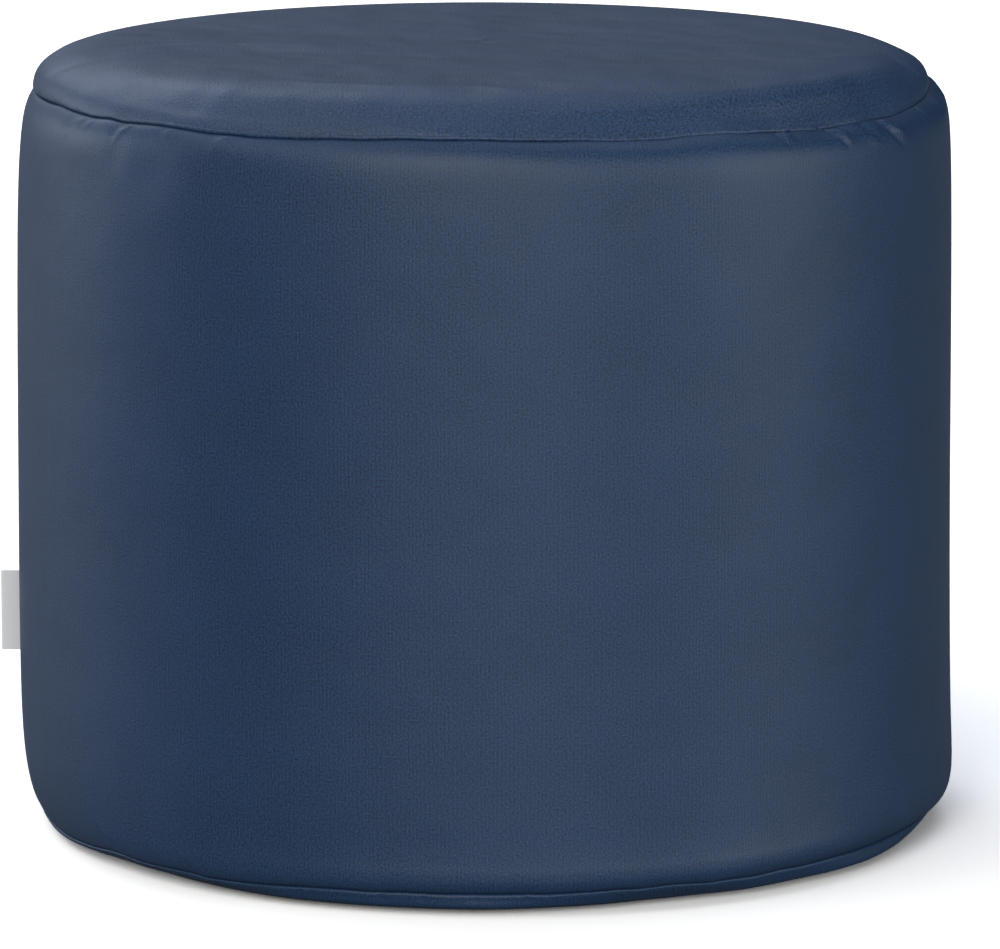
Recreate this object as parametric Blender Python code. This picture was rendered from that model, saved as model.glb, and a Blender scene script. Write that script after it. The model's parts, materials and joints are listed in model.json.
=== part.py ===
# Round bean bag footstool: a drum of woven cloth with a domed top panel, one tall side band,
# a flat bottom panel and a bare folded label in the upright seam.
# Metres, +Z up. The drum's axis is Z, it stands on z = 0, and its front faces -Y.

import bpy
import bmesh
from collections import namedtuple
from math import cos, exp, hypot, pi, radians, sin

# Driving sizes
CLOTH = 0.002            # thickness of a sewn panel
GAP = 0.0003             # clear space between two pieces
FOOT_RADIUS = 0.236      # round on which the drum rests
LOW_SEAM_RADIUS = 0.2467
LOW_SEAM_HEIGHT = 0.0121
TOP_SEAM_HEIGHT = 0.4045
TOP_SEAM_RADIUS = 0.2425
TOP_LEAN = 0.0025        # how far the top sits over to the left
SEAM_DROP = 0.003        # how far the top seam hangs lower at the left end
DROP_WIDTH = 24.0        # half-width of that drop, degrees
DROP_FADE = 4            # the drop fades down the band as this power of the height
RIM_RADIUS = 0.243       # widest round of the rolled rim, above the seam
RIM_LIFT = 0.0029        # height of the widest round over the seam
CROWN_RISE = 0.0215      # height of the crown over the widest round
CROWN_POWER = 8.0        # larger is a squarer shoulder to the crown
ROLL_POWER = 2.6         # larger is a tighter roll at the rim
TOP_CENTRE_RADIUS = 0.05 # innermost ring of the round panels

# The upright seam, and the label caught in it
SEAM_ANGLE = 181.5
SEAM_DEPTH = 0.002
SEAM_HALF_WIDTH = 1.0    # degrees
LABEL_LAYER = 0.001
LABEL_SPACE = 0.0005
LABEL_HEIGHT = 0.044
LABEL_BOTTOM = 0.092
LABEL_REACH = 0.0105     # beyond the band
LABEL_ROOT = 0.0012      # into the seam's channel
LABEL_BAND_RADIUS = 0.2558
LABEL_FOLD_STEPS = 8
SHARP_ANGLE = 50.0       # edges sharper than this stay sharp in the shading

# The side band between its seams: height, and radius at the left and at the right
BandRow = namedtuple("BandRow", "height left right")
BAND_ROWS = (
    BandRow(0.0165, 0.2487, 0.2520),
    BandRow(0.0240, 0.2512, 0.2553),
    BandRow(0.0380, 0.2535, 0.2556),
    BandRow(0.0600, 0.2551, 0.2549),
    BandRow(0.1000, 0.2558, 0.2540),
    BandRow(0.1700, 0.2555, 0.2537),
    BandRow(0.2450, 0.2549, 0.2537),
    BandRow(0.3150, 0.2543, 0.2531),
    BandRow(0.3550, 0.2534, 0.2525),
    BandRow(0.3760, 0.2524, 0.2517),
    BandRow(0.3880, 0.2512, 0.2506),
    BandRow(0.3960, 0.2496, 0.2486),
    BandRow(0.4010, 0.2474, 0.2450),
)

# Puckers beside the top seam, by angle round the drum from +X: each draws the cloth in at the
# seam, and has faded out at about twice its half-width (degrees) and twice its reach
Pucker = namedtuple("Pucker", "angle half_width depth reach")
BAND_PUCKERS = (
    Pucker(209.5, 2.6, 0.0016, 0.020),
    Pucker(218.0, 2.2, 0.0018, 0.016),
    Pucker(226.0, 2.2, 0.0012, 0.016),
    Pucker(236.0, 4.0, 0.0026, 0.026),
    Pucker(263.5, 2.4, 0.0010, 0.010),
    Pucker(312.5, 2.4, 0.0020, 0.016),
    Pucker(322.5, 3.0, 0.0026, 0.020),
    Pucker(336.0, 3.4, 0.0030, 0.024),
)
RIM_PUCKERS = (
    Pucker(263.5, 2.0, 0.0024, 0.010),
    Pucker(270.5, 2.4, 0.0030, 0.012),
    Pucker(287.0, 2.4, 0.0014, 0.008),
)

# Columns of the mesh round the drum: closer where the cloth is puckered or seamed
Arc = namedtuple("Arc", "start sweep steps")
ARCS = (
    Arc(0.0, 177.0, 26),
    Arc(177.0, 9.0, 6),
    Arc(186.0, 18.0, 3),
    Arc(204.0, 38.0, 18),
    Arc(242.0, 18.0, 3),
    Arc(260.0, 30.0, 12),
    Arc(290.0, 18.0, 3),
    Arc(308.0, 34.0, 16),
    Arc(342.0, 18.0, 3),
)

CROWN_STEPS = (0.0, 14.0, 30.0, 46.0, 60.0, 74.0, 86.0)   # degrees round the rim's roll
CURL_STEPS = (0.0, 35.0, 65.0, 90.0)                      # degrees round the low curl


def bell(distance, half_width):
    """A smooth bump of height 1 that has faded out at about twice its half-width."""
    return exp(-(distance / half_width) ** 2)


def turn_between(angle, other):
    """The shortest turn from one angle to another, in degrees."""
    return (angle - other + 180.0) % 360.0 - 180.0


def side_mix(left, right, angle):
    """A size that runs smoothly from its left value to its right value round the drum."""
    share = (1.0 + cos(radians(angle))) / 2.0
    return left + (right - left) * share


def seam_height(angle):
    return TOP_SEAM_HEIGHT - SEAM_DROP * bell(turn_between(angle, 180.0), DROP_WIDTH)


def drawn_in(puckers, angle, height):
    """How far the puckers draw the cloth in at one place."""
    from_seam = height - seam_height(angle)
    return sum(pucker.depth * bell(turn_between(angle, pucker.angle), pucker.half_width)
               * bell(from_seam, pucker.reach) for pucker in puckers)


def top_outline(angle):
    """Outer face of the top panel as (radius, height), from the centre out to the seam."""
    lean = TOP_LEAN * cos(radians(angle))
    drop = TOP_SEAM_HEIGHT - seam_height(angle)
    points = []
    for step in reversed(CROWN_STEPS):
        out = cos(radians(step)) ** (2.0 / CROWN_POWER)
        up = sin(radians(step)) ** (2.0 / ROLL_POWER)
        height = TOP_SEAM_HEIGHT + RIM_LIFT + CROWN_RISE * up - drop * (1.0 - up)
        inset = drawn_in(RIM_PUCKERS, angle, height)
        points.append((RIM_RADIUS * out - lean - inset, height))
    centre_height = TOP_SEAM_HEIGHT + RIM_LIFT + CROWN_RISE
    points.insert(0, (TOP_CENTRE_RADIUS - lean, centre_height))
    points.append((TOP_SEAM_RADIUS - lean, seam_height(angle)))
    return points


def bottom_outline():
    """Outer face of the bottom panel, from the floor up its curl to the low seam."""
    reach = LOW_SEAM_RADIUS - FOOT_RADIUS
    return [(FOOT_RADIUS + reach * sin(radians(step)), LOW_SEAM_HEIGHT * (1.0 - cos(radians(step))))
            for step in CURL_STEPS]


def band_outline(angle):
    """Outer face of the side band between its two seams, from low to high."""
    drop = TOP_SEAM_HEIGHT - seam_height(angle)
    channel = SEAM_DEPTH * bell(turn_between(angle, SEAM_ANGLE), SEAM_HALF_WIDTH)
    points = []
    for row in BAND_ROWS:
        height = row.height - drop * (row.height / TOP_SEAM_HEIGHT) ** DROP_FADE
        inset = channel + drawn_in(BAND_PUCKERS, angle, height)
        points.append((side_mix(row.left, row.right, angle) - inset, height))
    return points


def unit(start, end):
    """Direction from one point of an outline to another, one long."""
    length = hypot(end[0] - start[0], end[1] - start[1])
    return ((end[0] - start[0]) / length, (end[1] - start[1]) / length)


def inward(points, distance):
    """The same outline moved to its left by one distance, with mitred corners."""
    last = len(points) - 1
    moved = []
    for place, (radius, height) in enumerate(points):
        into = unit(points[max(place - 1, 0)], points[max(place, 1)])
        away = unit(points[min(place, last - 1)], points[min(place + 1, last)])
        normal = (-into[1] - away[1], into[0] + away[0])
        stretch = 2.0 * distance / (normal[0] ** 2 + normal[1] ** 2)
        moved.append((radius + normal[0] * stretch, height + normal[1] * stretch))
    return moved


def ledge(points, side):
    """The step of the fill past the sewn edge of a panel that lies on it: the edge's outer end and
    its back, both moved on by the gap. side is 1 where the fill is on the outline's left, or -1."""
    along = unit(points[-2], points[-1])
    outer = (points[-1][0] + along[0] * GAP, points[-1][1] + along[1] * GAP)
    depth = side * (CLOTH + GAP)
    return outer, (outer[0] - along[1] * depth, outer[1] + along[0] * depth)


def top_panel_section(angle):
    outer = top_outline(angle)[::-1]
    return inward(outer, CLOTH)[::-1] + outer


def bottom_panel_section(angle):
    outer = bottom_outline()
    return outer + inward(outer, CLOTH)[::-1]


def body_section(angle):
    """The filled drum: the band's own face, and the beds of the two round panels on it."""
    low = bottom_outline()
    high = top_outline(angle)
    low_edge, low_back = ledge(low, 1)
    high_edge, high_back = ledge(high, -1)
    under = inward(low, CLOTH + GAP)[:-1] + [low_back, low_edge]
    over = [high_edge, high_back] + inward(high[::-1], CLOTH + GAP)[1:]
    return under + band_outline(angle) + over


def columns():
    """The angles of the mesh's columns, once round the drum."""
    return [arc.start + arc.sweep * step / arc.steps for arc in ARCS for step in range(arc.steps)]


def lofted(name, section, material):
    """A closed solid through one section for each column, bridged ring by ring."""
    angles = columns()
    sections = [section(angle) for angle in angles]
    mesh = bmesh.new()
    rings = []
    for row in zip(*sections):
        verts = []
        for angle, (radius, height) in zip(angles, row):
            turn = radians(angle)
            verts.append(mesh.verts.new((radius * cos(turn), radius * sin(turn), height)))
        pairs = zip(verts, verts[1:] + verts[:1])
        rings.append([mesh.edges.new(pair) for pair in pairs])
    for lower, upper in zip(rings, rings[1:]):
        bmesh.ops.bridge_loops(mesh, edges=lower + upper)
    ends = [bmesh.ops.contextual_create(mesh, geom=ring)["faces"][0] for ring in (rings[0], rings[-1])]
    bmesh.ops.poke(mesh, faces=ends)
    bmesh.ops.recalc_face_normals(mesh, faces=mesh.faces)
    return placed(name, mesh, material)


def placed(name, mesh, material):
    data = bpy.data.meshes.new(name)
    mesh.to_mesh(data)
    mesh.free()
    data.materials.append(material)
    data.shade_smooth()
    data.set_sharp_from_angle(angle=radians(SHARP_ANGLE))
    piece = bpy.data.objects.new(name, data)
    bpy.context.collection.objects.link(piece)
    return piece


def folded_label(name, material):
    """A tape folded double: two layers a little apart, joined round the outer fold."""
    start = LABEL_BAND_RADIUS - LABEL_ROOT
    end = LABEL_BAND_RADIUS + LABEL_REACH
    outer = LABEL_LAYER + LABEL_SPACE / 2.0
    inner = LABEL_SPACE / 2.0
    turns = [pi / 2.0 - pi * step / LABEL_FOLD_STEPS for step in range(LABEL_FOLD_STEPS + 1)]
    around = [(end - outer + outer * cos(turn), outer * sin(turn)) for turn in turns]
    within = [(end - outer + inner * cos(turn), inner * sin(turn)) for turn in reversed(turns)]
    outline = [(start, outer)] + around + [(start, -outer), (start, -inner)] + within + [(start, inner)]
    mesh = bmesh.new()
    face = mesh.faces.new([mesh.verts.new((along, across, 0.0)) for along, across in outline])
    raised = bmesh.ops.extrude_face_region(mesh, geom=[face])["geom"]
    tops = [item for item in raised if isinstance(item, bmesh.types.BMVert)]
    bmesh.ops.translate(mesh, verts=tops, vec=(0.0, 0.0, LABEL_HEIGHT))
    bmesh.ops.recalc_face_normals(mesh, faces=mesh.faces)
    label = placed(name, mesh, material)
    label.location.z = LABEL_BOTTOM
    label.rotation_euler.z = radians(SEAM_ANGLE)
    return label


def cloth(name, colour, roughness):
    material = bpy.data.materials.new(name)
    material.use_nodes = True
    shader = material.node_tree.nodes["Principled BSDF"]
    shader.inputs["Base Color"].default_value = (*colour, 1.0)
    shader.inputs["Roughness"].default_value = roughness
    shader.inputs["Metallic"].default_value = 0.0
    return material


for item in list(bpy.data.objects):
    bpy.data.objects.remove(item, do_unlink=True)

lofted("side_band", body_section, cloth("side_cloth", (0.037, 0.066, 0.118), 0.85))
lofted("top_panel", top_panel_section, cloth("top_cloth", (0.040, 0.070, 0.124), 0.85))
lofted("bottom_panel", bottom_panel_section, cloth("bottom_cloth", (0.030, 0.055, 0.100), 0.88))
folded_label("side_label", cloth("label_tape", (0.72, 0.72, 0.72), 0.7))
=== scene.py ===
# Bean bag footstool: a drum of navy woven cloth, filled with beads.
# Each piece of the cover is shaped here as sewn cloth, in metres, in the frame's own places.

import json
import math
import random
import bpy
import numpy as np
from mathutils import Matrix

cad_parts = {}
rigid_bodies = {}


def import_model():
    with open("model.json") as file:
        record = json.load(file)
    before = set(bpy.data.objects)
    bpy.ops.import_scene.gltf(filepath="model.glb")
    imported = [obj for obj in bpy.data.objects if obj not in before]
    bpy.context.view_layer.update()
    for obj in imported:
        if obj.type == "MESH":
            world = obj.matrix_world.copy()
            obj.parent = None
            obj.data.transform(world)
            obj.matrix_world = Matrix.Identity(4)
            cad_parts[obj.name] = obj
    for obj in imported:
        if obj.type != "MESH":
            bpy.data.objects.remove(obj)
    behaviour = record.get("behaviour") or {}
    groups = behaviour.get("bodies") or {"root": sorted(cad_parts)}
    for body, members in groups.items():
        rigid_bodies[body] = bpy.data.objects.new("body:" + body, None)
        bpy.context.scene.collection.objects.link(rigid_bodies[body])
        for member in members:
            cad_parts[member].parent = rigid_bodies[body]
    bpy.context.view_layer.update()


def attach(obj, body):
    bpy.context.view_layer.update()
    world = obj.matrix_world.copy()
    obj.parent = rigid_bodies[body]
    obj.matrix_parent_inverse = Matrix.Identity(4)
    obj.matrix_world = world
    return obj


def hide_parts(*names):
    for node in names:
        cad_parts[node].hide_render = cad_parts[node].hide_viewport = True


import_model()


def deselectAll():
    for item in bpy.context.view_layer.objects:
        item.select_set(False)


def pick(item):
    deselectAll()
    item.select_set(True)
    bpy.context.view_layer.objects.active = item


def editStart(item):
    pick(item)
    bpy.ops.object.mode_set(mode="EDIT")


def editEnd():
    bpy.ops.object.mode_set(mode="OBJECT")


def selectPoints(item, chosen):
    # goes into edit mode with the chosen points selected, and the edges between them
    editStart(item)
    bpy.ops.mesh.select_mode(type="VERT")
    bpy.ops.mesh.select_all(action="DESELECT")
    editEnd()
    item.data.vertices.foreach_set("select", chosen)
    bpy.ops.object.mode_set(mode="EDIT")


def facesOutward(item):
    editStart(item)
    bpy.ops.mesh.select_all(action="SELECT")
    bpy.ops.mesh.normals_make_consistent(inside=False)
    editEnd()


def finishModifier(item, kind, **settings):
    pick(item)
    modifier = item.modifiers.new(kind.lower(), kind)
    for name, value in settings.items():
        setattr(modifier, name, value)
    bpy.ops.object.modifier_apply(modifier=modifier.name)


def points(item):
    flat = np.empty(len(item.data.vertices) * 3)
    item.data.vertices.foreach_get("co", flat)
    return flat.reshape(-1, 3)


def setPoints(item, places):
    item.data.vertices.foreach_set("co", np.ascontiguousarray(places).ravel())
    item.data.update()


def pointNormals(item):
    flat = np.empty(len(item.data.vertices) * 3)
    item.data.vertices.foreach_get("normal", flat)
    return flat.reshape(-1, 3)


def pointValues(item, name):
    flat = np.empty(len(item.data.vertices))
    item.data.attributes[name].data.foreach_get("value", flat)
    return flat


def bell(spread):
    return np.exp(-np.square(spread))


def ease(low, high, value):
    share = np.clip((value - low) / (high - low), 0.0, 1.0)
    return share * share * (3.0 - 2.0 * share)


def turnOf(places):
    # angle round the drum in degrees: 0 at the right, 180 at the left, 270 at the front
    return np.degrees(np.arctan2(places[:, 1], places[:, 0])) % 360.0


def turnBetween(turn, start):
    return (turn - start + 180.0) % 360.0 - 180.0


cameraView = {
    "distance": 3.827,     # level, from the drum's axis
    "height": 0.8693,
    "side": 0.0075,
    "tilt": 10.09,         # degrees below level
    "lens": 254.95,
    "sensor": 36.0,
    "near": 0.1,
    "far": 200.0,
}
facingTurn = 270.0         # the turn that faces the camera


def makeCamera():
    data = bpy.data.cameras.new("camera")
    data.lens = cameraView["lens"]
    data.sensor_width = cameraView["sensor"]
    data.clip_start = cameraView["near"]
    data.clip_end = cameraView["far"]
    item = bpy.data.objects.new("camera", data)
    bpy.context.collection.objects.link(item)
    item.location = (cameraView["side"], -cameraView["distance"], cameraView["height"])
    item.rotation_euler = (math.radians(90.0 - cameraView["tilt"]), 0.0, 0.0)
    bpy.context.scene.camera = item


makeCamera()
print("camera placed")


# the cover is first a cage: a circle extruded ring by ring, from the floor's middle to the crown
cover = {
    "columns": 240,
    "upSeam": 181.5,          # angle of the upright seam
    "upSeamDepth": 0.0022,
    # degrees from the upright seam for columns laid evenly, and where they lie instead
    "upSeamEven": (0.0, 1.5, 3.0, 4.5, 6.0, 7.5, 9.0, 10.5, 12.0, 180.0),
    "upSeamCrowded": (0.0, 0.35, 1.1, 2.3, 3.9, 5.7, 7.6, 9.5, 11.3, 180.0),
    "crowdedTurn": 275.0,     # the columns lie closest together here
    "crowding": 0.38,
    "layRadius": 0.2562,      # where the cloth's length round the band is measured
    "footRadius": 0.229,
    "footLift": 0.0012,
    "footRings": (0.03, 0.11, 0.18, 0.213),
    "footCurl": (0.0, 28.0, 52.0, 74.0),
    "lowSeam": (0.0121, 0.2465, 0.2475),      # height, radius at the left, radius at the right
    "topSeam": (0.4040, 0.2452, 0.2408),
    "seamPinch": 0.0015,      # how far the two seams are drawn in behind the cloth beside them
    "pinchStep": 0.0007,
    "bandRings": 20,
    "bandCrowding": 0.80,     # how much closer the rings lie by the seams
    "rimRadius": 0.2435,
    "rimLean": 0.0025,
    "rimLift": 0.0029,
    "crownRise": 0.0215,
    "crownPower": 8.0,
    "rollPower": 2.6,
    "rollSteps": (0.0, 10.0, 23.0, 37.0, 50.0, 58.0, 66.0, 80.0),
    "crownRings": (0.08, 0.010),
}

bandOutline = (   # height, radius at the left, radius at the right
    (0.0121, 0.2465, 0.2475),
    (0.0140, 0.2480, 0.2510),
    (0.0170, 0.2494, 0.2537),
    (0.0210, 0.2510, 0.2554),
    (0.0260, 0.2525, 0.2562),
    (0.0330, 0.2538, 0.2563),
    (0.0420, 0.2549, 0.2560),
    (0.0550, 0.2556, 0.2555),
    (0.0750, 0.2560, 0.2550),
    (0.1100, 0.2562, 0.2547),
    (0.1700, 0.2561, 0.2545),
    (0.2450, 0.2558, 0.2544),
    (0.3150, 0.2551, 0.2538),
    (0.3550, 0.2540, 0.2531),
    (0.3760, 0.2531, 0.2524),
    (0.3880, 0.2520, 0.2514),
    (0.3960, 0.2504, 0.2498),
    (0.4006, 0.2483, 0.2470),
    (0.4040, 0.2452, 0.2408),
)


def coverRings():
    # each ring: height, radius, shift along X, and the piece of cloth that starts there
    rings = []

    def add(height, left, right, cloth):
        rings.append((height, (left + right) / 2.0, (right - left) / 2.0, cloth))

    def addTop(height, radius):
        add(height, radius + cover["rimLean"], radius - cover["rimLean"], "top")

    lowHeight, lowLeft, lowRight = cover["lowSeam"]
    topHeight, topLeft, topRight = cover["topSeam"]
    foot, lift = cover["footRadius"], cover["footLift"]
    pinch, step = cover["seamPinch"], cover["pinchStep"]
    for radius in cover["footRings"]:
        add(0.0, radius, radius, "foot")
    for turn in cover["footCurl"]:
        height = lift + (lowHeight - lift) * (1.0 - math.cos(math.radians(turn)))
        share = math.sin(math.radians(turn))
        add(height, foot + (lowLeft - foot) * share, foot + (lowRight - foot) * share, "foot")
    add(lowHeight - step, lowLeft, lowRight, "foot")
    add(lowHeight, lowLeft - pinch, lowRight - pinch, "band")
    heights, lefts, rights = np.array(bandOutline).T
    start, end = lowHeight + step, topHeight - step
    for ring in range(cover["bandRings"]):
        share = ring / (cover["bandRings"] - 1)
        crowded = share - cover["bandCrowding"] * math.sin(2.0 * math.pi * share) / (2.0 * math.pi)
        height = start + (end - start) * crowded
        add(height, np.interp(height, heights, lefts), np.interp(height, heights, rights), "band")
    add(topHeight, topLeft - pinch, topRight - pinch, "top")
    for turn in cover["rollSteps"]:
        out = math.cos(math.radians(turn)) ** (2.0 / cover["crownPower"])
        up = math.sin(math.radians(turn)) ** (2.0 / cover["rollPower"])
        radius = cover["rimRadius"] * out
        height = topHeight + cover["rimLift"] + cover["crownRise"] * up
        if turn == 0.0:
            addTop(topHeight + step, radius)
        addTop(height, radius)
    for radius in cover["crownRings"]:
        addTop(topHeight + cover["rimLift"] + cover["crownRise"], radius)
    return rings


def clothStart(rings, cloth):
    return [ring[3] for ring in rings].index(cloth)


def latheByRings(name, rings):
    height, radius, shift = rings[0][:3]
    deselectAll()
    bpy.ops.mesh.primitive_circle_add(
        vertices=cover["columns"], radius=radius, location=(0.0, 0.0, 0.0))
    item = bpy.context.object
    item.name = name
    editStart(item)
    bpy.ops.mesh.select_all(action="SELECT")
    bpy.ops.transform.translate(value=(shift, 0.0, height))
    for before, after in zip(rings, rings[1:]):
        grow = after[1] / before[1]
        bpy.ops.mesh.extrude_region_move()
        bpy.ops.transform.resize(value=(grow, grow, 1.0), center_override=(before[2], 0.0, before[0]))
        bpy.ops.transform.translate(value=(after[2] - before[2], 0.0, after[0] - before[0]))
    editEnd()
    return item


def fillRing(item, chosen):
    selectPoints(item, chosen)
    bpy.ops.mesh.edge_face_add()
    bpy.ops.mesh.poke()
    editEnd()


def alongCloth(rings):
    # length along the cloth from the top seam: minus below it, plus above it
    outline = np.array([(ring[1], ring[0]) for ring in rings])
    steps = np.hypot(*np.diff(outline, axis=0).T)
    along = np.concatenate([[0.0], np.cumsum(steps)])
    return along - along[clothStart(rings, "top")]


def crowdAtUpSeam(cage, rings):
    # the columns crowd together at the upright seam, which then takes a narrow channel
    columns = cover["columns"]
    places = points(cage)
    grid = places[:len(rings) * columns].reshape(len(rings), columns, 3)
    shifts = np.array([ring[2] for ring in rings])[:, None]
    radii = np.array([ring[1] for ring in rings])[:, None]
    turns = np.degrees(np.arctan2(grid[0, :, 1], grid[0, :, 0] - rings[0][2])) % 360.0
    away = turnBetween(turns, cover["upSeam"])
    spread = np.interp(np.abs(away), cover["upSeamEven"], cover["upSeamCrowded"])
    moved = cover["upSeam"] + np.sign(away) * spread
    # and the front, whose creases show, has more of them than the back
    seamLead = math.sin(math.radians(cover["upSeam"] - cover["crowdedTurn"]))
    lead = np.sin(np.radians(moved - cover["crowdedTurn"])) - seamLead
    moved = np.radians(moved) - cover["crowding"] * lead
    onBand = np.array([ring[3] == "band" for ring in rings]) & (np.arange(len(rings)) > 0)
    depth = np.where(onBand[:, None] & (np.abs(away) < 0.1)[None, :], cover["upSeamDepth"], 0.0)
    grid[:, :, 0] = shifts + (radii - depth) * np.cos(moved)
    grid[:, :, 1] = (radii - depth) * np.sin(moved)
    setPoints(cage, places)


def sharpRings(cage, rings):
    # the two seams stay sharp when the cage is made smooth
    chosen = np.zeros(len(cage.data.vertices), bool)
    for cloth in ("band", "top"):
        first = clothStart(rings, cloth) * cover["columns"]
        chosen[first:first + cover["columns"]] = True
    selectPoints(cage, chosen)
    bpy.ops.transform.edge_crease(value=1.0)
    editEnd()


def markCloths(cage, rings):
    # one material slot for each cloth, so that the cover can be taken apart at its seams
    order = ("foot", "band", "top")
    for cloth in order:
        cage.data.materials.append(bpy.data.materials.new(cloth))
    for face in cage.data.polygons:
        ring = min(face.vertices) // cover["columns"]
        inFootMiddle = max(face.vertices) >= len(rings) * cover["columns"] and ring == 0
        face.material_index = 0 if inFootMiddle else order.index(rings[min(ring, len(rings) - 1)][3])


def layCloth(cage):
    # the cut cloth's own lengths in metres: round the drum and up it, or across a round panel
    layer = cage.data.uv_layers.new(name="cloth")
    places = points(cage)
    along = pointValues(cage, "along")
    turns = np.arctan2(places[:, 1], places[:, 0])
    start = math.radians(cover["upSeam"])
    lowest, highest = along.min(), along.max()
    for face in cage.data.polygons:
        middle = math.atan2(face.center.y, face.center.x)
        for loop in face.loop_indices:
            point = cage.data.loops[loop].vertex_index
            onward = (turns[point] - middle + math.pi) % (2.0 * math.pi) - math.pi
            if face.material_index == 1:
                length = ((middle - start) % (2.0 * math.pi) + onward) * cover["layRadius"]
                spot = (length, along[point])
            else:
                away = along[point] - lowest if face.material_index == 0 else highest - along[point]
                spot = (away * math.cos(middle + onward), away * math.sin(middle + onward))
            layer.data[loop].uv = spot


def makeCage(rings):
    cage = latheByRings("cage", rings)
    crowdAtUpSeam(cage, rings)
    columns = cover["columns"]
    count = len(rings) * columns
    fillRing(cage, np.arange(count) < columns)
    fillRing(cage, np.arange(count + 1) // columns == len(rings) - 1)
    facesOutward(cage)
    sharpRings(cage, rings)
    along = alongCloth(rings)
    reach = np.append(np.repeat(along, columns), [along[0] - rings[0][1], along[-1] + rings[-1][1]])
    cage.data.attributes.new("along", "FLOAT", "POINT").data.foreach_set("value", reach)
    markCloths(cage, rings)
    layCloth(cage)
    return cage


rings = coverRings()
cage = makeCage(rings)
lowSeamAlong = alongCloth(rings)[clothStart(rings, "band")]
print("cage made:", len(cage.data.vertices), "points")


# a copy of the cover swells like a filled cushion, and the cover takes on the unevenness of that
swelling = {
    "pressure": 4.0,
    "slack": 0.02,            # the cloth is cut this much larger than the fill
    "frames": 20,
    "most": 0.0020,           # no point moves further than this
    "sewnWithin": 0.0001,     # points this near a seam are held
    "front": 0.10,            # share that is kept at the front, where the creases are placed one by one
    "frontSpan": (95.0, 130.0),     # degrees to each side where the front starts and stops to fade
    "back": 0.9,
    "top": 0.6,               # share of it just above the top seam
    "crown": 0.016,           # how far it reaches from the top seam over the top panel
    "settings": {
        "quality": 6,
        "mass": 0.3,
        "tension_stiffness": 20.0,
        "compression_stiffness": 20.0,
        "shear_stiffness": 8.0,
        "bending_stiffness": 1.2,
        "use_pressure": True,
    },
}


def swell(item):
    pick(item)
    bpy.ops.object.duplicate()
    trial = bpy.context.object
    places, outward = points(item), pointNormals(item)
    along = pointValues(item, "along")
    within = swelling["sewnWithin"]
    pinned = (along < lowSeamAlong + within) | (np.abs(along) < within)
    group = trial.vertex_groups.new(name="sewn")
    group.add([int(point) for point in np.flatnonzero(pinned)], 1.0, "REPLACE")
    cloth = trial.modifiers.new("cloth", "CLOTH")
    for name, value in swelling["settings"].items():
        setattr(cloth.settings, name, value)
    cloth.settings.uniform_pressure_force = swelling["pressure"]
    cloth.settings.effector_weights.gravity = 0.0
    cloth.settings.vertex_group_mass = "sewn"
    cloth.settings.shrink_min = -swelling["slack"]
    cloth.settings.shrink_max = -swelling["slack"]
    cloth.point_cache.frame_start = 1
    cloth.point_cache.frame_end = swelling["frames"]
    for number in range(1, swelling["frames"] + 1):
        bpy.context.scene.frame_set(number)
    bpy.ops.object.modifier_apply(modifier=cloth.name)
    moved = ((points(trial) - places) * outward).sum(axis=1)
    bpy.context.scene.frame_set(1)
    bpy.data.objects.remove(trial)
    ring = np.unique(np.round(along, 6), return_inverse=True)[1]
    mean = np.bincount(ring, moved) / np.bincount(ring)
    uneven = np.clip(moved - mean[ring], -swelling["most"], swelling["most"]) * ~pinned
    facing = 1.0 - ease(*swelling["frontSpan"], np.abs(turnBetween(turnOf(places), facingTurn)))
    share = swelling["back"] + (swelling["front"] - swelling["back"]) * facing
    share = share * np.where(along > 0.0, swelling["top"] * bell(along / swelling["crown"]), 1.0)
    setPoints(item, places + outward * (uneven * share)[:, None])
    print("cover swollen, unevenness up to", round(float(np.abs(uneven).max()) * 1000.0, 2), "mm")


swell(cage)
finishModifier(cage, "SUBSURF", levels=2, render_levels=2, uv_smooth="NONE")


# the unevenness that shows, placed one by one: turns in degrees, lengths in millimetres
topSag = (   # turn, and how much higher the top seam lies there
    (0, 1.5), (8, 3.0), (20, 2.4), (32, 1.2), (45, -0.6), (58, 0.5), (72, -1.1), (86, -0.2),
    (99, 0.8), (112, -0.7), (126, -1.6), (139, -0.4), (151, 0.3), (160, -1.2), (170, -1.9),
    (180, -1.4), (188, -1.2), (198, -0.7), (203, -0.3), (207, -1.3), (213, -1.9), (216.5, -0.9),
    (219, -1.8), (222, -1.1), (226, -0.5), (230, -1.0), (234, -1.9), (238, -1.7), (240.5, -2.1),
    (244, -1.7), (248, -1.4), (250.7, -0.7), (255, -0.6), (260, 0.4), (264, 0.1), (269, 0.4),
    (273, -0.2), (278, -0.6), (282, -0.7), (286, -1.7), (289, -1.6), (292.3, -1.9), (295.5, -0.7),
    (301, -0.6), (303.5, -1.8), (306, -1.8), (309.5, -2.8), (312, -2.3), (315, -3.3), (318.5, -4.2),
    (322, -2.6), (325, -2.4), (329, -3.8), (333, -4.2), (337, -3.3), (341, -2.8), (348.5, -1.9),
    (354, 0.0),
)
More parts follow.
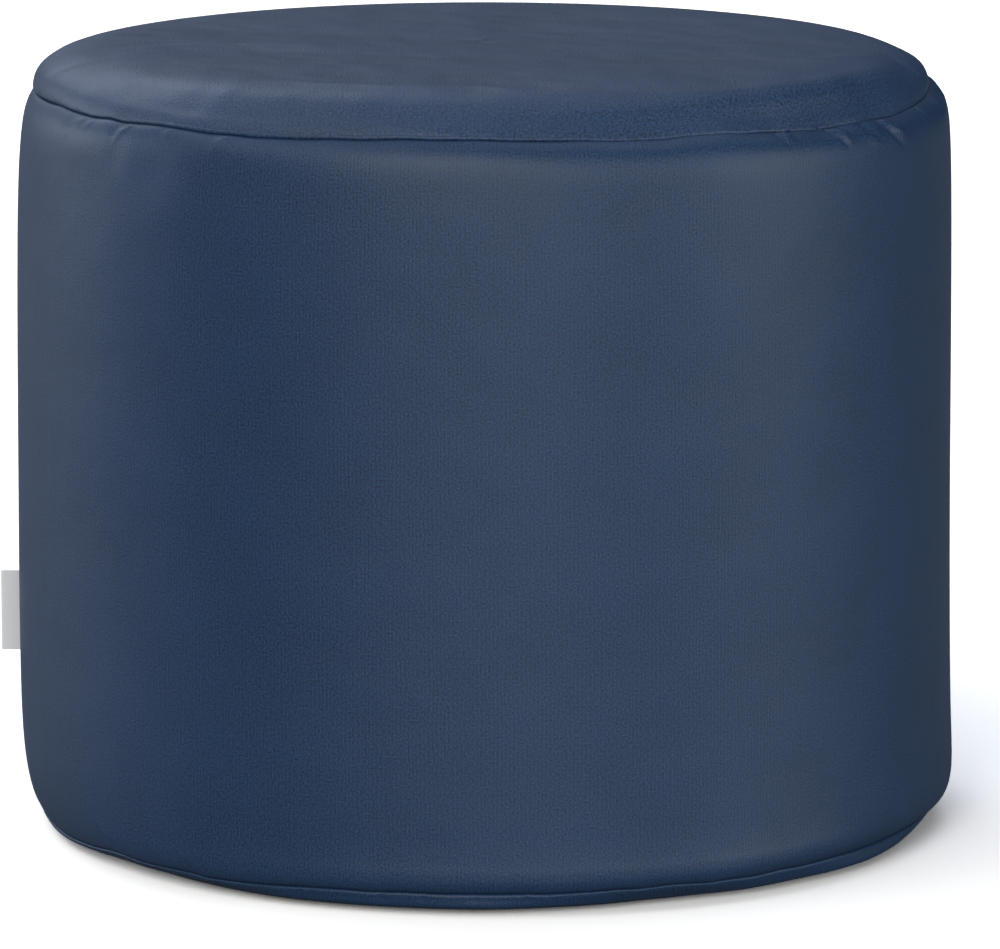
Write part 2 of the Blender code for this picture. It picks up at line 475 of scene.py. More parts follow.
lowSag = (   # the same of the low seam
    (0, 0.5), (25, -0.8), (50, 0.9), (80, -0.3), (110, 0.6), (140, -1.0), (170, -0.8), (190, -2.2),
    (198, -3.1), (204, -3.7), (208, -3.1), (212, -2.5), (216, -1.1), (219, -1.1), (222, -1.7),
    (224, -2.0), (229, -1.7), (232, -1.7), (234, -2.8), (236, -2.5), (240, -2.1), (244, -1.4),
    (247, -0.6), (250, -0.3), (253, 0.0), (256, -0.3), (260, 0.3), (264, 0.0), (274, 0.0),
    (278, -0.3), (283, 0.0), (286, 0.6), (288, 0.0), (290, 0.3), (292, 0.8), (295.5, 0.3),
    (297.4, -0.6), (300, 0.0), (303.5, -0.3), (306, 0.0), (308, 0.8), (311, 0.3), (317, 0.8),
    (325, 0.5), (340, 0.2),
)
footReach = (   # turn, and how much further out the foot reaches there
    (0, -3), (30, -2), (60, 3), (90, -1), (120, 2), (150, -3), (180, 0), (190, -3), (198, 2),
    (205, 1.5), (215, -2), (225, -1.5), (234, 3), (245, 7.5), (258, 8.5), (270, 10), (278, 7.5),
    (284, 6), (290, 3), (298, 3), (304, 6), (312, 5), (318, 6.5), (325, 7), (333, 4), (340, 1),
    (347, -2),
)
lowReach = (   # turn, and how much further out the low seam lies there
    (0, 0.0), (200, 0.0), (225, 2.5), (245, 5.0), (298, 5.5), (318, 3.5), (332, 0.0),
)
topSoft = (   # where the top seam lies open instead of in a deep channel: turn, half-width, how far
    (203.0, 3.0, 0.3), (287.0, 6.0, 0.4), (299.0, 6.0, 0.5), (313.2, 3.0, 1.2), (323.6, 3.4, 1.2),
    (336.0, 3.0, 0.5),
)
footPuckers = (   # turn, half-width, and how far out
    (249.0, 2.0, -0.5), (257.5, 2.5, -0.6), (262.6, 1.6, -0.5), (265.5, 2.5, 0.3), (268.7, 2.0, -0.4),
    (275.0, 1.8, -0.6), (277.2, 1.6, 0.6), (297.0, 3.0, -0.4), (236.0, 3.0, -0.4), (222.0, 4.0, 0.4),
    (20.0, 3.0, 0.5), (64.0, 2.4, -0.6), (101.0, 3.0, -0.5), (133.0, 2.0, 0.6), (160.0, 2.6, -0.5),
)

# creases of the side band: their way in turns and millimetres from the top seam, then height and
# half-width of the fold, and height and half-width of what lies on the left of its way
bandCreases = (
    (((206.6, -17.0), (208.8, -11.8), (210.6, -5.4), (212.4, 2.0)), 0.4, 2.6, -0.35, 4.0),
    (((210.8, -15.0), (212.3, -9.8), (213.4, -2.0), (214.0, 4.0)), 0.4, 2.0, -0.3, 3.0),
    (((218.6, -15.0), (219.6, -10.0), (220.7, -4.6), (221.8, 3.0)), 0.7, 1.7, -0.5, 3.0),
    (((227.3, -9.0), (227.9, -5.5), (228.6, 1.0)), 0.2, 1.8, -0.2, 2.4),
    (((235.0, -16.0), (236.0, -10.0), (236.6, -4.5), (237.2, 2.0)), 0.35, 2.4, -0.2, 3.2),
    (((238.8, -18.0), (239.8, -11.5), (240.4, -5.0), (240.9, 1.0)), 0.3, 2.6, -0.2, 3.4),
    (((243.4, -13.0), (244.0, -8.0), (244.6, -1.0)), 0.18, 2.4, -0.15, 3.0),
    (((307.8, 3.0), (308.3, -2.0), (308.8, -6.0), (309.5, -11.0)), -1.3, 1.1, 1.3, 2.6),
    (((316.4, 3.0), (317.3, -4.0), (318.1, -8.4), (319.5, -15.5)), -1.6, 1.2, 1.6, 3.0),
    (((323.0, 1.0), (324.2, -7.0), (326.6, -15.0)), -0.8, 1.8, 0.5, 3.5),
    (((327.2, 2.0), (328.2, -5.0), (329.6, -11.9), (332.2, -20.0)), -1.5, 1.7, 1.6, 3.2),
    (((340.6, 2.0), (340.9, -4.0), (341.6, -11.0)), -0.6, 1.6, 0.6, 2.6),
    (((214.6, -382.0), (216.4, -389.0), (218.0, -394.0)), -0.5, 1.2, 0.35, 2.0),
    (((230.4, -389.0), (232.2, -395.0)), -0.35, 1.2, 0.25, 1.8),
)
bandHollows = (   # turn, millimetres from the top seam, half-width, half-height, depth
    (226.0, -27.0, 20.0, 15.0, 1.1),
    (242.5, -28.0, 26.0, 14.0, 0.5),
    (236.0, -10.0, 14.0, 8.0, -0.4),
    (219.8, -20.0, 8.0, 9.0, 0.5),
    (300.0, -14.0, 26.0, 9.0, 0.35),
    (325.0, -13.0, 7.0, 5.0, -0.7),
    (316.0, -5.0, 9.0, 4.0, 0.5),
    (351.0, -11.0, 14.0, 7.0, -0.9),
    (200.0, -22.0, 26.0, 16.0, -0.4),
    (213.0, -16.0, 26.0, 13.0, -0.9),
)

# creases of the top panel: their way in millimetres across and forward, then as above
topCreases = (
    (((-141, -148), (-112, -170), (-86, -184), (-47, -197), (-21, -197), (-3, -199), (14, -207),
      (36, -212), (61, -209), (87, -202), (113, -196), (140, -184), (163, -167)), 1.2, 3.0, -0.5, 9.0),
    (((-203, -26), (-175, -19), (-151, -14), (-137, -22), (-124, -17), (-104, -34)),
     0.9, 3.4, -0.5, 8.0),
    (((66, -134), (89, -123), (109, -107), (122, -97), (145, -76)), 0.8, 3.0, -0.4, 7.0),
    (((141, -90), (154, -84), (172, -82), (190, -64), (212, -40)), 0.7, 3.0, -0.4, 7.0),
    (((-240, -52), (-231, -59), (-221, -66), (-205, -68)), -0.5, 4.0, 0.3, 8.0),
    (((213, -24), (224, -40), (238, -38)), -0.9, 6.0, 0.0, 8.0),
)
topHollows = (   # across, forward, half-width, half-length, depth
    (-112.0, 48.0, 34.0, 36.0, 1.8),
    (-128.0, -54.0, 34.0, 20.0, 1.6),
    (40.0, 20.0, 90.0, 50.0, 1.0),
    (120.0, 60.0, 70.0, 60.0, -0.8),
)
rollSlope = (   # turn, and how far the roll has sunk from a full round to a gentle slope
    (0, 1.6), (12, 2.6), (28, 2.4), (45, 1.0), (60, 0.8), (120, 0.6), (145, -0.6), (165, -0.8),
    (180, 0.0), (200, 0.4), (214, 3.6), (226, 5.4), (258, 5.4), (274, 4.2), (288, 1.2), (300, 0.4),
    (330, 0.4), (348, 1.0),
)
rollChamfer = (   # turn, and how far its lower part is cut off to a steep slope
    (0, 0.0), (265, 0.0), (276, 1.6), (288, 4.4), (296, 5.0), (326, 4.8), (340, 2.6), (352, 0.6),
)
rollCorner = (   # turn, and how far its shoulder stands out
    (0, 0.0), (180, 0.0), (278, 0.0), (290, 0.9), (300, 1.6), (312, 2.0), (326, 2.0), (338, 1.0),
    (346, 0.0),
)
bandShoulder = (   # turn, and how far the band stands out below the seam
    (0, 0.2), (180, 0.0), (245, 0.0), (262, 0.2), (285, 0.5), (326, 0.6), (342, 0.4),
)
rollDents = (   # turn, millimetres above the top seam, half-width, half-height, depth
    (263.5, 13.0, 1.6, 8.0, 0.5),
    (264.3, 4.0, 1.4, 3.5, -0.4),
    (257.5, 6.0, 8.0, 4.5, 0.7),
    (267.0, 7.0, 6.5, 5.0, 0.8),
    (273.0, 8.5, 8.0, 5.5, 0.8),
    (330.0, 24.0, 26.0, 14.0, 1.0),
    (346.0, 20.0, 16.0, 9.0, 0.8),
)
unseen = {                    # the same kind of puckers where the photograph doesn't show the seam
    "seed": 11,
    "count": 34,
    "from": 346.0,
    "to": 186.0,
    "place": (0.1, 0.9),      # where a pucker stands in its own share of the way round
    "length": (6.0, 16.0),
    "lean": (-2.4, 2.4),      # degrees
    "bendLean": 0.4,          # shares of its lean and of its length at the bend of its way
    "bendLength": 0.55,
    "start": -2.0,            # its upper end, from the top seam
    "height": (0.3, 0.9),
    "width": (1.6, 3.0),
    "sideHeight": -0.7,       # share of its height
    "sideWidth": (2.2, 3.6),
    "wave": 0.5,              # millimetres that the sides and the back are uneven
    "waves": ((5.0, 0.012, 0.0, 1.0), (8.0, -0.017, 1.3, 0.7)),   # number round, lean, start, share
    "waveFree": 70.0,         # degrees to each side of the front that are nearly free of the waves
    "waveFull": 60.0,         # millimetres below the top seam where the waves are full
}
roundness = 4.40              # millimetres round the band for one degree
quarters = np.arange(0.0, 360.25, 0.25)      # the turns at which a table's values are kept
creaseShape = {
    "near": 200.0,            # no crease reaches further than this from the middle of its way
    "fade": 0.35,             # share of its way at each end over which it fades
    "apart": 1.1,             # how far off the cloth beside it rises or sinks, in both half-widths
}
bandShapes = (   # table, degrees it is softened over, middle above the top seam, half-height, sign
    (bandShoulder, 4.0, -15.0, 13.0, 1.0),
)
rollShapes = (   # the same for the roll
    (rollSlope, 4.0, 16.0, 14.5, -1.0),
    (rollChamfer, 4.0, 12.0, 12.0, -1.0),
    (rollCorner, 3.0, 28.0, 8.5, 1.0),
)
reaches = {                   # how far the shapes reach along the cloth, in millimetres
    "seamFade": 3.0,          # shapes of the band fade this near its seams
    "rollFade": 2.2,          # and those of the roll
    "softSeam": 1.6,
    "pucker": (-5.0, 5.0),    # middle from the low seam, and half-height
    "puckerFade": 2.0,
    "topSag": (45.0, 22.0, 8.0),    # below the top seam, above it, and its quick part
    "lowSag": (30.0, 6.0),    # both ways from the low seam, and its quick part
    "footSag": 13.0,
    "footOut": (12.0, 14.0, 70.0),  # where the foot's reach is full, starts to fade and ends
    "lowOut": (16.0, 6.0),    # above the low seam and below it
}
blurs = {                     # how far the tables are softened, in degrees
    "slowSag": 6.0,
    "quickSag": 0.8,
    "footOut": 2.0,
    "lowOut": 5.0,
}


def roundTable(table, blur):
    # a table's values at each quarter of a degree, softened over a number of degrees
    turns, values = np.array(table, float).T
    fine = np.interp(quarters[:-1], np.append(turns, turns[0] + 360.0), np.append(values, values[0]))
    weight = bell(turnBetween(quarters[:-1], 0.0) / blur)
    return np.real(np.fft.ifft(np.fft.fft(fine) * np.fft.fft(weight / weight.sum())))


def readRound(table, blur, turn):
    values = roundTable(table, blur)
    return np.interp(turn, quarters, np.append(values, values[0]))


def nearPath(spots, path):
    # how far beside the path each spot lies, plus on its left, and its share of the way
    gap = np.full(len(spots), 1e9)
    beside, run, length = np.zeros(len(spots)), np.zeros(len(spots)), 0.0
    for start, end in zip(path, path[1:]):
        step = np.subtract(end, start)
        reach = math.hypot(*step)
        onward = np.clip((spots - start) @ step / reach ** 2, 0.0, 1.0)
        off = spots - start - onward[:, None] * step
        far = np.hypot(off[:, 0], off[:, 1])
        closer = far < gap
        side = np.sign(step[0] * off[:, 1] - step[1] * off[:, 0])
        beside[closer] = (far * side)[closer]
        run[closer] = (length + onward * reach)[closer]
        gap = np.minimum(gap, far)
        length += reach
    return beside, run / length


def creaseRise(spots, path, height, width, sideHeight, sideWidth):
    # how far a crease lifts each spot, or lets it sink
    near = np.abs(spots - np.mean(path, axis=0)).max(axis=1) < creaseShape["near"]
    rise = np.zeros(len(spots))
    beside, run = nearPath(spots[near], path)
    fade = ease(0.0, creaseShape["fade"], run) * ease(0.0, creaseShape["fade"], 1.0 - run)
    offset = creaseShape["apart"] * (width + sideWidth)
    fold = height * bell(beside / width)
    rise[near] = fade * (fold + sideHeight * bell((beside - offset) / sideWidth))
    return rise


def unseenCreases():
    # short puckers from the top seam down, each as long and as steep as chance makes it
    chance = random.Random(unseen["seed"])
    span = (unseen["to"] - unseen["from"]) % 360.0
    made = []
    for number in range(unseen["count"]):
        turn = unseen["from"] + span * (number + chance.uniform(*unseen["place"])) / unseen["count"]
        length, lean = chance.uniform(*unseen["length"]), chance.uniform(*unseen["lean"])
        height, width = chance.uniform(*unseen["height"]), chance.uniform(*unseen["width"])
        sideWidth = chance.uniform(*unseen["sideWidth"])
        bend = (turn + unseen["bendLean"] * lean, -unseen["bendLength"] * length)
        path = ((turn + lean, -length), bend, (turn, unseen["start"]))
        made.append((path, height, width, unseen["sideHeight"] * height, sideWidth))
    return tuple(made)


def roundShape(row, turn, along):
    table, blur, middle, high, sign = row
    return sign * readRound(table, blur, turn) * bell((along - middle) / high)


def shapeBand(turn, along):
    rise = np.zeros(len(turn))
    for path, *sizes in bandCreases + unseenCreases():
        start = path[0][0]
        spots = np.stack([turnBetween(turn, start) * roundness, along], axis=1)
        rise += creaseRise(spots, [((at - start) * roundness, down) for at, down in path], *sizes)
    for turnAt, down, wide, high, depth in bandHollows:
        rise -= depth * bell(turnBetween(turn, turnAt) * roundness / wide) * bell((along - down) / high)
    for row in bandShapes:
        rise += roundShape(row, turn, along)
    angle = np.radians(turn)
    wave = sum(share * np.sin(count * angle + lean * along + start)
               for count, lean, start, share in unseen["waves"])
    side = 1.0 - bell(turnBetween(turn, facingTurn) / unseen["waveFree"])
    rise += unseen["wave"] * side * wave * ease(0.0, unseen["waveFull"], -along)
    fade = reaches["seamFade"]
    return rise * ease(0.0, fade, -along) * ease(0.0, fade, along - lowSeamAlong * 1000.0)


def shapeTop(places, turn, along):
    spots = places[:, :2] * 1000.0
    rise = np.zeros(len(turn))
    for crease in topCreases:
        rise += creaseRise(spots, *crease)
    for across, forward, wide, long, depth in topHollows:
        rise -= depth * bell((spots[:, 0] - across) / wide) * bell((spots[:, 1] - forward) / long)
    for turnAt, up, wide, high, depth in rollDents:
        rise -= depth * bell(turnBetween(turn, turnAt) * roundness / wide) * bell((along - up) / high)
    for row in rollShapes:
        rise += roundShape(row, turn, along)
    return rise * ease(0.0, reaches["rollFade"], along)


def seamLift(table, turn, along, slowReach, quickReach):
    # a seam's rise and fall: its slow part reaches far over the cloth, its quick part stays near
    slow = readRound(table, blurs["slowSag"], turn)
    quick = readRound(table, blurs["quickSag"], turn) - slow
    return slow * bell(along / slowReach) + quick * bell(along / quickReach)


def shapeCover(item):
    places, outward = points(item), pointNormals(item)
    turn, along = turnOf(places), pointValues(item, "along") * 1000.0
    fromLow = along - lowSeamAlong * 1000.0
    rise = shapeBand(turn, along) + shapeTop(places, turn, along)
    for turnAt, wide, depth in topSoft:
        rise += depth * bell(turnBetween(turn, turnAt) / wide) * bell(along / reaches["softSeam"])
    middle, high = reaches["pucker"]
    for turnAt, wide, depth in footPuckers:
        pucker = depth * bell(turnBetween(turn, turnAt) * roundness / wide)
        pucker = pucker * bell((fromLow - middle) / high)
        rise += pucker * ease(0.0, reaches["puckerFade"], -fromLow)
    places += outward * rise[:, None] / 1000.0
    below, above, quick = reaches["topSag"]
    lift = seamLift(topSag, turn, along, np.where(along < 0.0, below, above), quick)
    onBand = seamLift(lowSag, turn, fromLow, *reaches["lowSag"])
    onFoot = seamLift(lowSag, turn, 0.0, *reaches["lowSag"]) * ease(-reaches["footSag"], 0.0, fromLow)
    places[:, 2] += (lift + np.where(fromLow > 0.0, onBand, onFoot)) / 1000.0
    full, fadeStart, fadeEnd = reaches["footOut"]
    reach = readRound(footReach, blurs["footOut"], turn) / 1000.0
    reach *= ease(0.0, full, -fromLow) * (1.0 - ease(fadeStart, fadeEnd, -fromLow))
    above, below = reaches["lowOut"]
    seamReach = readRound(lowReach, blurs["lowOut"], turn) / 1000.0
    reach += seamReach * bell(fromLow / np.where(fromLow > 0.0, above, below))
    places[:, 0] += reach * np.cos(np.radians(turn))
    places[:, 1] += reach * np.sin(np.radians(turn))
    setPoints(item, places)


shapeCover(cage)
print("cover shaped:", len(cage.data.vertices), "points")


# the cover is taken apart at its seams, and each cloth has its edge turned in
sewing = {
    "clothThickness": 0.0016,
    "turnedIn": 0.006,        # width of the edge that is turned in at a seam
    "intoSeam": 0.001,        # the part of it that still slopes
    "apart": 0.0002,          # half the space between the two cloths in a seam
    "topEdge": (0.3, 1.0),    # heights between which a cloth's open edge is that of the top seam
    "lowEdge": (-1.0, 0.1),
    "bedDepth": 0.005,        # the fill's crown lies this far under the top cloth
    "bedSteps": ((0.232, 0.30), (0.225, 0.58), (0.205, 0.86), (0.17, 0.97), (0.1, 1.0), (0.03, 1.0)),
    "bedUneven": 0.5,         # share of the rise and fall of one ring that the next one keeps
    "footBed": (0.230, 0.005),     # radius and height of the fill over the bottom cloth
    "footBedMiddle": 0.03,
    "topSpare": 0.032,        # the flat cloth's radius is this much more than its seam's
    "footSpare": 0.007,
}
topHeight, topLeft, topRight = cover["topSeam"]
lowHeight, lowLeft, lowRight = cover["lowSeam"]
topRadius = (topLeft + topRight) / 2.0 - cover["seamPinch"]
lowRadius = (lowLeft + lowRight) / 2.0 - cover["seamPinch"]
topCentre = ((topRight - topLeft) / 2.0, 0.0, topHeight)
lowCentre = ((lowRight - lowLeft) / 2.0, 0.0, lowHeight)


def splitCover(item):
    editStart(item)
    bpy.ops.mesh.separate(type="MATERIAL")
    editEnd()
    found = {}
    for part in list(bpy.context.selected_objects):
        found[part.data.materials[part.data.polygons[0].material_index].name] = part
    return found["foot"], found["band"], found["top"]


def openEdge(item, low, high):
    # marks the points of a cloth's open edge between two heights
    editStart(item)
    bpy.ops.mesh.select_mode(type="EDGE")
    bpy.ops.mesh.select_all(action="DESELECT")
    bpy.ops.mesh.select_non_manifold(extend=False, use_wire=False, use_boundary=True,
                                     use_multi_face=False, use_non_contiguous=False, use_verts=False)
    editEnd()
    chosen = np.zeros(len(item.data.vertices), bool)
    item.data.vertices.foreach_get("select", chosen)
    heights = points(item)[:, 2]
    return chosen & (heights >= low) & (heights <= high)


def extrudeRing(centre, radius, newRadius, lift, flat=1.0):
    grow = newRadius / radius
    bpy.ops.mesh.extrude_region_move()
    bpy.ops.transform.resize(value=(grow, grow, flat), center_override=centre)
    bpy.ops.transform.translate(value=(0.0, 0.0, lift))


def turnIn(centre, radius, lift):
    # the edge goes into the seam and then level inwards
    inSeam = radius - sewing["intoSeam"]
    extrudeRing(centre, radius, inSeam, lift)
    extrudeRing(centre, inSeam, radius - sewing["turnedIn"], 0.0)


def makeSheet(item, edge, centre, radius, lift):
    selectPoints(item, openEdge(item, *sewing[edge]))
    turnIn(centre, radius, lift)
    editEnd()
    finishModifier(item, "SOLIDIFY", thickness=sewing["clothThickness"], offset=-1.0, use_rim=True)


def closeBand(item):
    # the fill's bed under the top cloth and over the bottom cloth closes the band to one solid
    selectPoints(item, openEdge(item, *sewing["topEdge"]))
    turnIn(topCentre, topRadius, -sewing["apart"])
    radius, height = topRadius - sewing["turnedIn"], -sewing["apart"]
    rise = cover["rimLift"] + cover["crownRise"] - sewing["bedDepth"]
    for newRadius, share in sewing["bedSteps"]:
        middle = (topCentre[0], 0.0, topHeight + height)
        extrudeRing(middle, radius, newRadius, rise * share - height, sewing["bedUneven"])
        radius, height = newRadius, rise * share
    bpy.ops.mesh.edge_face_add()
    bpy.ops.mesh.poke()
    editEnd()
    selectPoints(item, openEdge(item, *sewing["lowEdge"]))
    turnIn(lowCentre, lowRadius, sewing["apart"])
    newRadius, newHeight = sewing["footBed"]
    middle = (lowCentre[0], 0.0, lowHeight + sewing["apart"])
    extrudeRing(middle, lowRadius - sewing["turnedIn"], newRadius, newHeight - middle[2], 0.0)
    extrudeRing(middle, newRadius, sewing["footBedMiddle"], 0.0)
    bpy.ops.mesh.edge_face_add()
    bpy.ops.mesh.poke()
    editEnd()


footCloth, bandCloth, topCloth = splitCover(cage)
footCloth.name, bandCloth.name, topCloth.name = "bottomPanelCloth", "sideBandFilled", "topPanelCloth"
makeSheet(topCloth, "topEdge", topCentre, topRadius, sewing["apart"])
makeSheet(footCloth, "lowEdge", lowCentre, lowRadius, -sewing["apart"])
closeBand(bandCloth)
for item in (footCloth, bandCloth, topCloth):
    facesOutward(item)
    bpy.ops.object.shade_smooth()
    item.data.materials.clear()
    print(item.name, len(item.data.polygons), "faces")


# the label is a tape folded double, caught in the upright seam
label = {
    "bottom": 0.092,
    "height": 0.044,
    "bandRadius": 0.2558,
    "reach": 0.0105,          # how far it stands out of the band
    "root": 0.0012,           # how far it starts inside the seam
    "thickness": 0.0009,
    "space": 0.0006,          # between its two layers
    "columns": 24,
    "rows": 12,
    "sharpAngle": 40.0,
}


def makeLabel():
    start = label["bandRadius"] - label["root"]
    end = label["bandRadius"] + label["reach"]
    middle = (label["thickness"] + label["space"]) / 2.0
    deselectAll()
    bpy.ops.mesh.primitive_grid_add(
        x_subdivisions=label["columns"], y_subdivisions=label["rows"], size=1.0,
        location=(0.0, 0.0, 0.0))
    item = bpy.context.object
    item.name = "sideLabelTape"
    places = points(item)
    run = end - start - middle
    total = 2.0 * run + math.pi * middle
    seam = math.radians(cover["upSeam"])
    layer = item.data.uv_layers.active
    layer.name = "cloth"
    for loop in item.data.loops:
        spot = places[loop.vertex_index]
        layer.data[loop.index].uv = ((spot[0] + 0.5) * total, (spot[1] + 0.5) * label["height"])
    # out along one layer, round the fold and back along the other
    length = (places[:, 0] + 0.5) * total
    around = np.clip((length - run) / middle, 0.0, math.pi)
    back = np.maximum(length - run - math.pi * middle, 0.0)
    out = start + np.minimum(length, run) + middle * np.sin(around) - back
    across = middle * np.cos(around)
    height = label["bottom"] + (places[:, 1] + 0.5) * label["height"]
    setPoints(item, np.stack([out * math.cos(seam) - across * math.sin(seam),
                              out * math.sin(seam) + across * math.cos(seam), height], axis=1))
    finishModifier(item, "SOLIDIFY", thickness=label["thickness"], offset=0.0)
    facesOutward(item)
    bpy.ops.object.shade_smooth_by_angle(angle=math.radians(label["sharpAngle"]))
    item.data.materials.clear()
    return item, total


labelTape, labelLength = makeLabel()
print("label made")


class Value:
    # a socket that sums and products can be written with
    def __init__(self, paint, socket):
        self.paint = paint
        self.socket = socket

    def math(self, operation, *values):
        return self.paint.node("ShaderNodeMath", {"operation": operation}, dict(enumerate(values)))

    def __add__(self, other):
        return self.math("ADD", self, other)

    def __radd__(self, other):
        return self.math("ADD", other, self)

    def __sub__(self, other):
        return self.math("SUBTRACT", self, other)

    def __mul__(self, other):
        return self.math("MULTIPLY", self, other)

    def __rmul__(self, other):
        return self.math("MULTIPLY", other, self)


class Paint:
    def __init__(self, tree):
        self.tree = tree

    def node(self, kind, settings, inputs, output=0):
        made = self.tree.nodes.new(kind)
        for name, value in settings.items():
            setattr(made, name, value)
        for name, value in inputs.items():
            self.feed(made.inputs[name], value)
        return Value(self, made.outputs[output])

    def feed(self, socket, value):
        if isinstance(value, Value):
            self.tree.links.new(value.socket, socket)
        else:
            socket.default_value = value


clothLook = {                 # lengths in metres, shades as shares of the colour
    "colour": (0.0111, 0.0388, 0.0951),
    "roughness": 0.5,
    "gloss": 0.5,             # the shader's own specular level
    "ribPitch": 0.0021,
    "ribStray": 5.0,          # how far the ribs stray from an even pitch, in radians
    "strayPitches": 3.0,      # the pitches over which they stray
    "strengthPitches": 6.0,   # the pitches over which they grow weaker and stronger
    "ribLength": 0.03,
    "grainSize": 0.0011,
    "ribShade": 0.09,
    "grainShade": 0.90,
    "patchShade": 0.12,
    "patchSize": 0.05,
    "ribHeight": 0.00003,
    "grainHeight": 0.00010,
    "patchHeight": 0.0006,
    "grainRoughness": 0.20,
}
clothChanges = {              # what differs on a cloth
    # the top cloth's colour is lighter and greyer than the band's: painted light, standing in for the
    # brighter light that its crown and roll catch
    "top": {"colour": (0.0180, 0.0470, 0.1060), "ribShade": 0.05, "ribHeight": 0.00001,
            "grainSize": 0.0015, "grainHeight": 0.00020, "patchHeight": 0.0035, "patchSize": 0.07},
    "foot": {},
    "band": {},
}


def clothMaterial(name):
    look = dict(clothLook, **clothChanges[name])
    material = bpy.data.materials.new(name + "Cloth")
    material.use_nodes = True
    paint = Paint(material.node_tree)
    shader = material.node_tree.nodes["Principled BSDF"]
    spot = paint.node("ShaderNodeUVMap", {"uv_map": "cloth"}, {})

    def noise(across, up, detail):
        stretched = paint.node("ShaderNodeVectorMath", {"operation": "MULTIPLY"},
                               {0: spot, 1: (1.0 / across, 1.0 / up, 0.0)})
        return paint.node("ShaderNodeTexNoise", {"noise_dimensions": "2D"},
                          {"Vector": stretched, "Scale": 1.0, "Detail": detail, "Roughness": 0.5})

    roundBand = paint.node("ShaderNodeSeparateXYZ", {}, {0: spot}, "X")
    strays = noise(look["ribPitch"] * look["strayPitches"], look["ribLength"], 1.0)
    strength = noise(look["ribPitch"] * look["strengthPitches"], look["ribLength"], 1.0)
    phase = roundBand * (2.0 * math.pi / look["ribPitch"]) + strays * look["ribStray"]
    rib = 0.5 + phase.math("SINE", phase) * strength
    grain = noise(look["grainSize"], look["grainSize"], 1.0)
    patch = noise(look["patchSize"], look["patchSize"], 2.0)
    shade = (1.0 + (rib - 0.5) * (2.0 * look["ribShade"]) + (grain - 0.5) * (2.0 * look["grainShade"])
             + (patch - 0.5) * (2.0 * look["patchShade"]))
    colour = paint.node("ShaderNodeVectorMath", {"operation": "SCALE"},
                        {0: look["colour"], "Scale": shade})
    paint.feed(shader.inputs["Base Color"], colour)
    paint.feed(shader.inputs["Roughness"], look["roughness"] + (grain - 0.5) * look["grainRoughness"])
    shader.inputs["Specular IOR Level"].default_value = look["gloss"]
    height = rib * look["ribHeight"] + grain * look["grainHeight"] + patch * look["patchHeight"]
    bump = paint.node("ShaderNodeBump", {}, {"Strength": 1.0, "Distance": 1.0, "Height": height})
    paint.feed(shader.inputs["Normal"], bump)
    return material


labelLook = {
    "colour": (0.93, 0.93, 0.93),
    "roughness": 0.7,
    "threads": (3000.0, 1500.0, 0.0),     # to the metre, along the tape and up it
    "darkest": 0.94,          # share of the colour where the threads lie lowest
    "threadShade": 0.12,
    "threadHeight": 0.00004,
}


def labelMaterial():
    material = bpy.data.materials.new("labelTape")
    material.use_nodes = True
    paint = Paint(material.node_tree)
    shader = material.node_tree.nodes["Principled BSDF"]
    spot = paint.node("ShaderNodeUVMap", {"uv_map": "cloth"}, {})
    fine = paint.node("ShaderNodeVectorMath", {"operation": "MULTIPLY"},
                      {0: spot, 1: labelLook["threads"]})
    thread = paint.node("ShaderNodeTexNoise", {"noise_dimensions": "2D"},
                        {"Vector": fine, "Scale": 1.0, "Detail": 1.0})
    shade = labelLook["darkest"] + thread * labelLook["threadShade"]
    colour = paint.node("ShaderNodeVectorMath", {"operation": "SCALE"},
                        {0: labelLook["colour"], "Scale": shade})
    paint.feed(shader.inputs["Base Color"], colour)
    shader.inputs["Roughness"].default_value = labelLook["roughness"]
    height = thread * labelLook["threadHeight"]
    bump = paint.node("ShaderNodeBump", {}, {"Strength": 1.0, "Distance": 1.0, "Height": height})
    paint.feed(shader.inputs["Normal"], bump)
    return material


# a pale floor, and a studio of broad soft lights far round it
studio = {
    "floorSize": 120.0,
    "floorColour": 0.25,
    # the camera sees the floor this much brighter than it lights the cloth
    "floorGain": (8.25, 8.10, 7.75),
    "back": (5.0, 200.0),     # turns between which a light is behind the drum
    "backTint": (0.88, 0.94, 1.10),     # colour of the lights there
    "lights": (               # turn and height as angles from the drum, half-width, strength
        (332.0, 3.0, 12.0, 5.8),
        (346.0, 4.0, 12.0, 5.3),
        (287.0, 5.0, 12.0, 6.8),
        (255.0, 22.0, 13.0, 7.5),
        (240.0, 36.0, 14.0, 1.1),
        (202.0, 53.0, 16.0, 2.5),
        (167.0, 5.0, 12.0, 2.8),
        (150.0, 5.0, 12.0, 5.65),
        (120.0, 36.0, 14.0, 4.1),
        (90.0, 36.0, 14.0, 0.45),
        (45.0, 71.0, 16.0, 2.0),
    ),
}


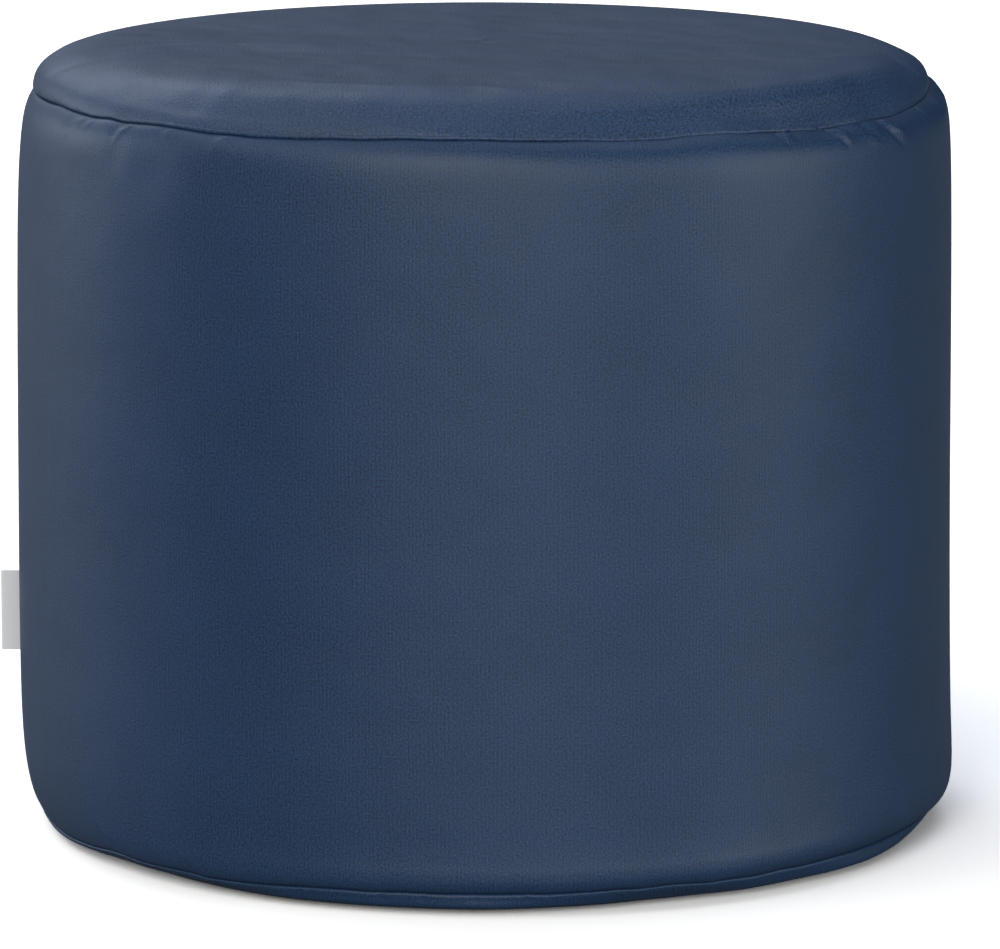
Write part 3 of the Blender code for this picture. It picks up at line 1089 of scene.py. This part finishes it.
def makeFloor():
    deselectAll()
    bpy.ops.mesh.primitive_plane_add(size=studio["floorSize"], location=(0.0, 0.0, 0.0))
    floor = bpy.context.object
    floor.name = "floor"
    material = bpy.data.materials.new("floorPaint")
    material.use_nodes = True
    tree = material.node_tree
    paint = Paint(tree)
    shade = studio["floorColour"]
    lit = paint.node("ShaderNodeBsdfDiffuse", {}, {"Color": (shade, shade, shade, 1.0)})
    bright = [shade * gain for gain in studio["floorGain"]]
    seen = paint.node("ShaderNodeBsdfDiffuse", {}, {"Color": (*bright, 1.0)})
    looked = paint.node("ShaderNodeLightPath", {}, {}, "Is Camera Ray")
    mixed = paint.node("ShaderNodeMixShader", {}, {0: looked, 1: lit, 2: seen})
    paint.feed(tree.nodes["Material Output"].inputs["Surface"], mixed)
    floor.data.materials.append(material)


def makeLight():
    world = bpy.data.worlds.new("studio")
    bpy.context.scene.world = world
    world.use_nodes = True
    paint = Paint(world.node_tree)
    background = world.node_tree.nodes["Background"]
    spot = paint.node("ShaderNodeTexCoord", {}, {}, "Generated")
    backStart, backEnd = studio["back"]
    glow = {"front": 0.0, "back": 0.0}
    for turn, height, width, strength in studio["lights"]:
        around, up = math.radians(turn), math.radians(height)
        aim = (math.cos(up) * math.cos(around), math.cos(up) * math.sin(around), math.sin(up))
        near = paint.node("ShaderNodeVectorMath", {"operation": "DOT_PRODUCT"},
                          {0: spot, 1: aim}, "Value")
        sharp = 1.0 / (1.0 - math.cos(math.radians(width)))
        side = "back" if backStart < turn < backEnd else "front"
        glow[side] = glow[side] + strength * near.math("EXPONENT", (near - 1.0) * sharp)
    seen = paint.node("ShaderNodeLightPath", {}, {}, "Is Camera Ray")
    shades = [glow["front"] + glow["back"] * share for share in studio["backTint"]]
    light = paint.node("ShaderNodeCombineXYZ", {}, {"X": shades[0], "Y": shades[1], "Z": shades[2]})
    colour = paint.node("ShaderNodeMix", {"data_type": "VECTOR"},
                        {0: seen, 4: light, 5: (1.0, 1.0, 1.0)}, 1)
    paint.feed(background.inputs["Color"], colour)
    background.inputs["Strength"].default_value = 1.0
    bpy.context.scene.view_settings.view_transform = "Standard"


makeFloor()
makeLight()
print("studio made")


# each piece's finish, and what it stands for
pieces = (
    (footCloth, clothMaterial("foot"), "bottom_panel", "bottom_cloth"),
    (bandCloth, clothMaterial("band"), "side_band", "side_cloth"),
    (topCloth, clothMaterial("top"), "top_panel", "top_cloth"),
    (labelTape, labelMaterial(), "side_label", "label_tape"),
)
for item, material, node, slot in pieces:
    item.data.materials.append(material)
    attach(item, "root")
    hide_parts(node)
topFlat = 2.0 * (topRadius + sewing["topSpare"])
footFlat = 2.0 * (lowRadius + sewing["footSpare"])
math.pi * topFlat ** 2 / 4.0
math.pi * footFlat ** 2 / 4.0
